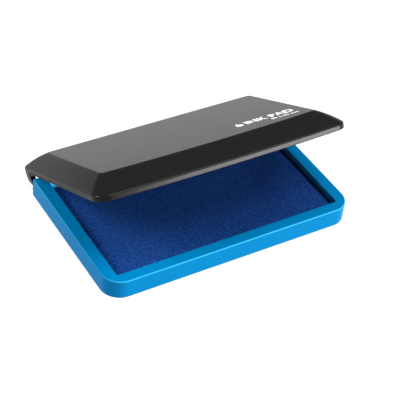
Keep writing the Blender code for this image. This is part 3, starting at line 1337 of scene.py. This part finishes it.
@dataclass
class Lid:
    """Black lid: a flat top inside wide slopes, an upright lip, and two hinge ears."""

    hinge: Hinge
    bottom: float = 7.7
    lip: float = 2.0
    rise: float = 6.85
    wall: float = 1.6
    crown: float = 0.45
    lip_plan: Plan = Plan(
        half_width=50.1, front=-28.1, rear=36.9, front_radius=5.0, rear_radius=2.5, bow=2.05,
        arc_steps=16, edge_steps=36,
    )
    top_plan: Plan = Plan(
        half_width=43.15, front=-18.0, rear=28.0, front_radius=1.5, rear_radius=1.5, bow=1.85,
        arc_steps=16, edge_steps=36,
    )
    top_rings: tuple[float, float] = (1.14, 1.09)       # shares of the way from the lip to the top
    slope_rings: tuple[float, ...] = (0.9, 0.8, 0.65, 0.5, 0.35, 0.2, 0.1)
    brow: tuple[float, float] = (0.05, 0.045)           # rounding above and below the top's edge
    brow_steps: int = 6
    lip_turn: float = 0.045                             # rounding above and below the lip's edge
    lip_drop: float = 0.35
    lip_rounds: tuple[float, float] = (0.3, 0.12)
    lip_depth: float = 0.8                              # height above the foot where the ears begin
    inner_rise: float = 0.93
    inner_thinning: float = 0.8
    inner_rings: tuple[float, ...] = (0.04, 0.5, 0.96)
    roof_run: float = 1.0
    ear_radius: float = 1.4
    ear_taper: float = 0.9
    ear_curl: float = 1.5
    ear_front: float = 31.3
    ear_rear: float = 1.0                               # past the lip, before it is cut to shape
    ear_heel: float = 0.7
    ear_thickness: float = 2.2
    ear_inner: tuple[tuple[float, float], ...] = ((0.0, 0.2), (0.06, 0.06), (0.2, 0.0))
    ear_outer: tuple[tuple[float, float], ...] = ((0.06, 0.04), (0.0, 0.14))
    ear_turns: range = range(20, 76, 8)                 # degrees round the lip's rear corner
    ear_points: int = 120

    @property
    def top(self) -> float:
        """Height of the flat top."""
        return self.bottom + self.rise

    @property
    def slope(self) -> float:
        """Height of the slope above the lip."""
        return self.rise - self.lip

    def at(self, rise: float, inset: float, height: float) -> np.ndarray:
        """Ring of the slope's plan at a rise, with an inset and a height."""
        return level(self.lip_plan.toward(self.top_plan, rise).points(inset), height)

    def outside(self) -> list[np.ndarray]:
        """Rings from the flat top, down the slope and the lip.

        Returns:
            Rings, the top one first.
        """
        lip_top = self.bottom + self.lip
        above, below = self.brow

        def slope_height(rise: float) -> float:
            """Height of the crowned slope at a share of its run."""
            return lip_top + self.slope * rise + 4.0 * self.crown * rise * (1.0 - rise)

        shares = [step / self.brow_steps for step in range(self.brow_steps + 1)]
        rings = [self.at(rise, 0.0, self.top) for rise in self.top_rings]
        for share in shares:
            height = bend(self.top, self.top, slope_height(1.0 - below), share)
            rings.append(self.at(1.0 + above * (1.0 - share) ** 2 - below * share * share, 0.0, height))
        rings += [self.at(rise, 0.0, slope_height(rise)) for rise in self.slope_rings]
        for share in shares:
            height = bend(slope_height(self.lip_turn), lip_top, lip_top - self.lip_drop, share)
            rings.append(self.at(self.lip_turn * (1.0 - share) ** 2, 0.0, height))
        rings.append(self.at(0.0, 0.0, lip_top - self.lip_drop - SUPPORT))
        return rings

    def rings(self) -> list[np.ndarray]:
        """Rings over the whole shell, from the top, round the lip, to the roof inside.

        Returns:
            The rings of a closed loft.
        """
        lip_top, roof = self.bottom + self.lip, self.top - self.wall
        outer_round, inner_round = self.lip_rounds
        under = rounded_path(
            [(0.0, self.bottom + self.lip_depth, 0), (0.0, self.bottom, outer_round),
             (self.wall, self.bottom, inner_round), (self.wall, lip_top, 0)], 3,
        )
        inner = self.inner_thinning * self.wall
        inside = [
            self.at(share * self.inner_rise, self.wall + (inner - self.wall) * share,
                    lip_top + (roof - lip_top) * share)
            for share in self.inner_rings
        ]
        return (
            self.outside()
            + [self.at(0.0, across, up) for across, up in under]
            + inside
            + [self.at(self.inner_rise, inner + run, roof) for run in (0.0, self.roof_run)]
        )

    def rear_reach(self, x: float) -> float:
        """How far back the lid's rounded rear corner reaches at a distance from the middle."""
        radius = self.lip_plan.rear_radius
        past = max(abs(x) - (self.lip_plan.half_width - radius), 0.0)
        return self.lip_plan.rear - radius + math.sqrt(max(radius**2 - past**2, 0.0))

    def ear(self, side: Side) -> bpy.types.Object:
        """One ear: a round end on the hinge, drawn up to the lip and back to its heel.

        Args:
            side: Left or right.

        Returns:
            The ear, a hair proud of the lip that it grows from.
        """
        outer = self.lip_plan.half_width + FILM
        inner = outer - self.ear_thickness
        radius, rear = self.lip_plan.rear_radius, self.lip_plan.rear + self.ear_rear
        corner = outer - radius
        stations = [(inner + run, inset) for run, inset in self.ear_inner]
        stations += [(corner + radius * math.sin(math.radians(turn)), 0.0) for turn in self.ear_turns]
        stations += [(outer - run, inset) for run, inset in self.ear_outer]
        up = self.bottom + self.lip_depth
        profiles = []
        for x, inset in stations:
            base = [
                (self.ear_front + inset, up),
                (rear - inset, up),
                (rear - inset, self.bottom - self.ear_heel + inset),
            ]
            outline = resample(self.hinge.teardrop(self.ear_radius - inset, base), self.ear_points)
            outline[:, 0] = np.minimum(outline[:, 0], self.rear_reach(x - FILM) + FILM)
            profiles.append((side.value * x, outline))
        rings = side_slices(profiles)
        foot = self.hinge.centre.z - self.ear_radius
        for ring in rings:
            down = np.clip((self.bottom - ring[:, 2]) / (self.bottom - foot), 0.0, 1.0)
            out = (np.abs(ring[:, 0]) - inner) / self.ear_thickness
            ring[:, 0] -= side.value * self.ear_taper * out * down**self.ear_curl
        return loft(f"ear_{side.name.lower()}", rings)

    def build(self) -> bpy.types.Object:
        """The lid with its ears, swung open.

        Returns:
            The lid.
        """
        shell = loft("lid_cover", self.rings())
        carve(shell, "UNION", *(self.ear(side) for side in Side))
        return self.hinge.swing_open(shell)

    def make(self, finish: bpy.types.Material) -> None:
        """Build, dress and place the lid."""
        place_piece(self.build(), Body.LID, finish, "lid_plastic", "lid_shell")


# ---------------------------------------------------------------- liner


@dataclass
class Liner:
    """Flat liner staked into the lid, with a sealing bead round its edge."""

    hinge: Hinge
    plan: Plan = Plan(
        half_width=48.2, front=-26.2, rear=28.0, front_radius=3.1, rear_radius=1.0, bow=2.05,
        arc_steps=12, edge_steps=24,
    )
    sheet: tuple[float, float] = (8.3, 9.3)
    bead_foot: float = 7.8
    bead: float = 1.2
    bead_round: float = 0.15
    run: float = 1.5                # how far a ring lies in from the edge of a flat
    stake_spacing: tuple[float, float] = (68.0, 34.0)
    post_radius: float = 1.8
    head_radius: float = 1.7
    head_height: float = 0.42
    roof: float = 12.95
    stake_root: float = 0.4         # how far the posts reach into the lid

    def build(self) -> bpy.types.Object:
        """The sheet with its bead, swung open with the lid.

        Returns:
            The liner.
        """
        (low, high), soft = self.sheet, self.bead_round
        path = rounded_path(
            [(self.run, high, 0), (0.0, high, soft), (0.0, self.bead_foot, soft),
             (self.bead, self.bead_foot, soft), (self.bead, low, soft), (self.bead + self.run, low, 0)], 3,
        )
        rings = [level(self.plan.points(across), up) for across, up in path]
        return self.hinge.swing_open(loft("lid_liner_sheet", rings))

    def stake_tree(self) -> bpy.types.NodeTree:
        """Nodes that set a post and a melted head at each corner of a rectangle.

        Returns:
            The tree, with its sizes as named inputs.
        """
        sizes = ("Spacing X", "Spacing Y", "Foot", "Roof", "Post Radius", "Head Radius", "Head Height")
        tree, given = open_tree("heat_stakes", dict.fromkeys(sizes, "Float"))
        corners = add_node(
            tree,
            "GeometryNodeMeshGrid",
            inputs={
                "Size X": given["Spacing X"], "Size Y": given["Spacing Y"], "Vertices X": 2, "Vertices Y": 2
            },
        )
        depth = add_node(
            tree, "ShaderNodeMath", {"operation": "SUBTRACT"}, {0: given["Roof"], 1: given["Foot"]}
        )
        middle = add_node(
            tree,
            "ShaderNodeMath",
            {"operation": "MULTIPLY_ADD"},
            {0: depth.outputs[0], 1: 0.5, 2: given["Foot"]},
        )
        up = add_node(tree, "ShaderNodeCombineXYZ", inputs={"Z": middle.outputs[0]})
        post = add_node(
            tree,
            "GeometryNodeMeshCylinder",
            inputs={
                "Vertices": ROUND_STEPS, "Radius": given["Post Radius"], "Depth": depth.outputs[0]
            },
        )
        raised = add_node(
            tree,
            "GeometryNodeTransform",
            inputs={"Geometry": post.outputs["Mesh"], "Translation": up.outputs[0]},
        )
        ball = add_node(tree, "GeometryNodeMeshUVSphere", inputs={"Segments": 32, "Rings": 16, "Radius": 1.0})
        flat = add_node(
            tree,
            "ShaderNodeCombineXYZ",
            inputs={"X": given["Head Radius"], "Y": given["Head Radius"], "Z": given["Head Height"]},
        )
        foot = add_node(tree, "ShaderNodeCombineXYZ", inputs={"Z": given["Foot"]})
        head = add_node(
            tree,
            "GeometryNodeTransform",
            inputs={
                "Geometry": ball.outputs["Mesh"], "Scale": flat.outputs[0], "Translation": foot.outputs[0]
            },
        )
        stake = add_node(tree, "GeometryNodeJoinGeometry")
        for part in (raised, head):
            tree.links.new(part.outputs["Geometry"], stake.inputs[0])
        close_tree(tree, corners.outputs["Mesh"], stake.outputs[0], given["Finish"])
        return tree

    def stakes(self, finish: bpy.types.Material) -> bpy.types.Object:
        """Four posts of the lid, melted over the liner.

        Args:
            finish: The lid's material.

        Returns:
            The posts and heads as one piece.
        """
        values = {
            "Spacing X": self.stake_spacing[0] * MM,
            "Spacing Y": self.stake_spacing[1] * MM,
            "Foot": (self.sheet[0] + 2.0 * FILM) * MM,
            "Roof": (self.roof + self.stake_root) * MM,
            "Post Radius": self.post_radius * MM,
            "Head Radius": self.head_radius * MM,
            "Head Height": self.head_height * MM,
            "Finish": finish,
        }
        posts = grown("stake_row", self.stake_tree(), values)
        return self.hinge.swing_open(joined("liner_stakes", [posts]))

    def make(self, finish: bpy.types.Material, lid_finish: bpy.types.Material) -> None:
        """Build, dress and place the liner and its stakes."""
        place_piece(self.build(), Body.LID, finish, "liner_plastic", "lid_liner")
        place_piece(self.stakes(lid_finish), Body.LID, lid_finish, "lid_plastic")


# ---------------------------------------------------------------- printed mark


@dataclass(frozen=True)
class PrintLine:
    """One line of plain print: its words, foot, height, left end and how bold it is."""

    text: str
    base: float
    tall: float
    left: float
    weight: float


@dataclass
class PrintedMark:
    """Plain white print on the lid: an ink drop, the article's plain name, and the pad's size."""

    hinge: Hinge
    surface: float
    film: float = 0.03
    right: float = 38.9
    lines: tuple[PrintLine, ...] = (
        PrintLine("INK PAD", base=-11.1, tall=4.0, left=18.9, weight=0.022),
        PrintLine("90 x 50 mm", base=-14.2, tall=1.7, left=27.4, weight=0.012),
    )
    drop_place: tuple[float, float] = (16.1, -9.9)
    drop_radius: float = 1.35
    drop_tip: float = 3.1
    curve_steps: int = 6

    def flat_shape(self, name: str, outline: list[Vector]) -> bpy.types.Object:
        """Thin solid of an outline, lying on the lid's top.

        Args:
            name: Name of the object.
            outline: Its corners in x and y.

        Returns:
            The object.
        """
        rows = np.array([tuple(p) for p in outline])
        return loft(name, [level(rows, self.surface - FILM), level(rows, self.surface + self.film)])

    def lettering(self, line: PrintLine) -> bpy.types.Object:
        """Raised text as mesh, fitted between its left end and the right end of all lines.

        Args:
            line: The line to print.

        Returns:
            The line.
        """
        curve = bpy.data.curves.new("lettering", "FONT")
        curve.body, curve.size, curve.extrude, curve.offset = line.text, 1.0, 0.5, line.weight
        curve.resolution_u = self.curve_steps
        holder = bpy.data.objects.new("lettering", curve)
        bpy.context.scene.collection.objects.link(holder)
        bpy.context.view_layer.update()
        graph = bpy.context.evaluated_depsgraph_get()
        mesh = bpy.data.meshes.new_from_object(holder.evaluated_get(graph))
        bpy.data.objects.remove(holder, do_unlink=True)
        rows = np.array([v.co for v in mesh.vertices])
        low, high = rows.min(0), rows.max(0)
        wanted = np.array([self.right - line.left, line.tall, self.film + FILM])
        scale = Matrix.Diagonal((*(wanted / (high - low)), 1.0))
        put = Matrix.Translation((line.left, line.base, self.surface - FILM)) @ scale
        mesh.transform(put @ Matrix.Translation(-Vector(low)))
        built = bmesh.new()
        built.from_mesh(mesh)
        bmesh.ops.remove_doubles(built, verts=built.verts, dist=0.001)
        return solid("lettering", built)

    def build(self) -> bpy.types.Object:
        """The whole mark, swung open with the lid.

        Returns:
            The mark.
        """
        (x, y), radius = self.drop_place, self.drop_radius
        turns = [2.0 * math.pi * i / ROUND_STEPS for i in range(ROUND_STEPS)]
        points = [Vector((x + radius * math.cos(t), y + radius * math.sin(t))) for t in turns]
        points.append(Vector((x, y + self.drop_tip)))
        parts = [self.flat_shape("drop", [points[i] for i in convex_hull_2d(points)])]
        parts += [self.lettering(line) for line in self.lines]
        return self.hinge.swing_open(joined("printed_mark", parts))

    def make(self, finish: bpy.types.Material) -> None:
        """Build, dress and place the mark."""
        place_piece(self.build(), Body.LID, finish, "print")


# ---------------------------------------------------------------- studio


def bearing(azimuth: float, elevation: float) -> Vector:
    """Direction seen from the object: degrees to the right of its front, and degrees up."""
    turn, lift = math.radians(azimuth), math.radians(elevation)
    return Vector((math.sin(turn) * math.cos(lift), -math.cos(turn) * math.cos(lift), math.sin(lift)))


@dataclass(frozen=True)
class SoftBox:
    """A large soft light aimed at the object."""

    name: str
    azimuth: float
    elevation: float
    distance: float
    size: tuple[float, float]
    power: float
    aim: tuple[float, float, float] = (0.0, 0.0, 0.01)

    def make(self) -> None:
        """Set the light in metres round the object."""
        away = bearing(self.azimuth, self.elevation)
        data = bpy.data.lights.new(self.name, "AREA")
        data.shape, data.size, data.size_y = "RECTANGLE", *self.size
        data.energy = self.power
        light = bpy.data.objects.new(self.name, data)
        light.location = Vector(self.aim) + away * self.distance
        light.rotation_euler = (-away).to_track_quat("-Z", "Y").to_euler()
        bpy.context.scene.collection.objects.link(light)


@dataclass(frozen=True)
class Studio:
    """Pale floor, soft light and the camera."""

    azimuth: float = -35.01
    elevation: float = 41.0
    roll: float = 6.99
    distance: float = 0.47664
    shift: tuple[float, float] = (0.00282, 0.00275)
    lens: float = 116.93
    lights: tuple[SoftBox, ...] = (
        SoftBox("front_softbox", azimuth=37.5, elevation=9.0, distance=1.0, size=(0.75, 0.18), power=18.0),
        SoftBox("front_strip", azimuth=31.0, elevation=32.0, distance=1.0, size=(0.8, 0.06), power=1.5),
        SoftBox("left_softbox", azimuth=-122.0, elevation=30.0, distance=1.0, size=(0.5, 0.35), power=12.0),
        SoftBox("top_softbox", azimuth=70.0, elevation=71.0, distance=0.8, size=(0.6, 0.6), power=8.2),
    )
    floor_reach: float = 3.0
    floor_glow: float = 0.78
    floor_cloud: float = 40.0
    sky_height: float = 0.5
    sky_light: tuple[float, float] = (0.15, 0.12)

    def camera(self) -> None:
        """Set the camera at its angle round the object."""
        back = bearing(self.azimuth, self.elevation)
        level_right = Vector((0.0, 0.0, 1.0)).cross(back).normalized()
        roll = Matrix.Rotation(math.radians(self.roll), 3, back)
        right, up = roll @ level_right, roll @ back.cross(level_right)
        data = bpy.data.cameras.new("camera")
        data.sensor_width, data.lens = 36.0, self.lens
        data.clip_start, data.clip_end = 0.01, 20.0
        camera = bpy.data.objects.new("camera", data)
        place = right * self.shift[0] + up * self.shift[1] + back * self.distance
        camera.matrix_world = Matrix.Translation(place) @ Matrix((right, up, back)).transposed().to_4x4()
        bpy.context.scene.collection.objects.link(camera)
        bpy.context.scene.camera = camera

    def floor(self) -> None:
        """Lay a plain pale floor, lit softly from within so that shadows on it stay faint."""
        built = bmesh.new()
        bmesh.ops.create_grid(built, x_segments=1, y_segments=1, size=self.floor_reach / MM)
        floor = solid("studio_floor", built)
        canvas = Canvas.start("lit_white_acrylic")
        cloud = canvas.remap(canvas.grain(self.floor_cloud), 0.0, 1.0)
        canvas.set(
            Base_Color=canvas.mix(cloud, hex_to_linear("#8A8A8A"), hex_to_linear("#888888")),
            Roughness=0.9,
            Specular_IOR_Level=0.1,
            Emission_Color=(1.0, 1.0, 1.0, 1.0),
            Emission_Strength=self.floor_glow,
        )
        floor.data.materials.append(canvas.material)

    def sky(self) -> None:
        """Light the room from a pale horizon that darkens overhead."""
        world = bpy.data.worlds.new("studio_room")
        world.use_nodes = True
        tree = world.node_tree
        place = add_node(tree, "ShaderNodeTexCoord")
        axes = add_node(tree, "ShaderNodeSeparateXYZ", inputs={0: place.outputs["Generated"]})
        horizon, overhead = self.sky_light
        shade = add_node(
            tree,
            "ShaderNodeMapRange",
            {"interpolation_type": "SMOOTHSTEP"},
            {
                "Value": axes.outputs["Z"],
                "From Min": 0.0,
                "From Max": self.sky_height,
                "To Min": horizon,
                "To Max": overhead,
            },
        )
        background = tree.nodes["Background"]
        background.inputs["Color"].default_value = (1.0, 1.0, 1.0, 1.0)
        tree.links.new(shade.outputs["Result"], background.inputs["Strength"])
        bpy.context.scene.world = world

    def make(self) -> None:
        """Set up the whole studio."""
        self.camera()
        self.floor()
        self.sky()
        for light in self.lights:
            light.make()
        bpy.context.scene.view_settings.view_transform = "Standard"


def main() -> None:
    """Build every sub-assembly in order."""
    logging.basicConfig(level=logging.INFO, format="%(name)s: %(message)s")
    Studio().make()
    hinge = Hinge.from_frame()
    hinge.dress(PIN_STEEL.build())
    Tray(hinge).make(TRAY_PLASTIC.build())
    InkPad().make(PAD_CLOTH.build(), INK_FELT.build(), BACKING_BOARD.build())
    black = LID_PLASTIC.build()
    lid = Lid(hinge)
    lid.make(black)
    Liner(hinge).make(LINER_PLASTIC.build(), black)
    PrintedMark(hinge, lid.top).make(WHITE_PRINT.build())


if __name__ == "__main__":
    main()
